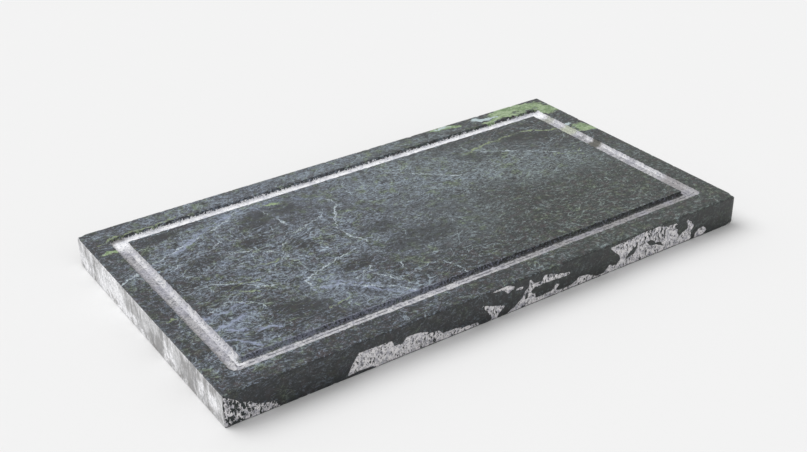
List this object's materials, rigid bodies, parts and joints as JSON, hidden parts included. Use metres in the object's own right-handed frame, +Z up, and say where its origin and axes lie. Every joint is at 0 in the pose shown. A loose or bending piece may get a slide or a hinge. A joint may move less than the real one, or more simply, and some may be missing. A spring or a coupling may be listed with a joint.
{
  "type": "grooved stone work slab",
  "caption": "Rectangular dark green stone slab with a flat polished top inside a shallow gutter groove and sawn, partly rough edges.",
  "frame": {"origin": "centre of the underside, on the surface that the slab lies on", "axes": "+X along the long side, +Y along the short side away from the front, +Z up out of the grooved top face"},
  "size_m": [0.55, 0.3, 0.03],
  "materials": {
    "green_stone": "honed and polished top, rough grey groove floor, sawn edges with pale rough patches"
  },
  "bodies": {
    "root": {"stone_slab": "green_stone"}
  },
  "joints": []
}
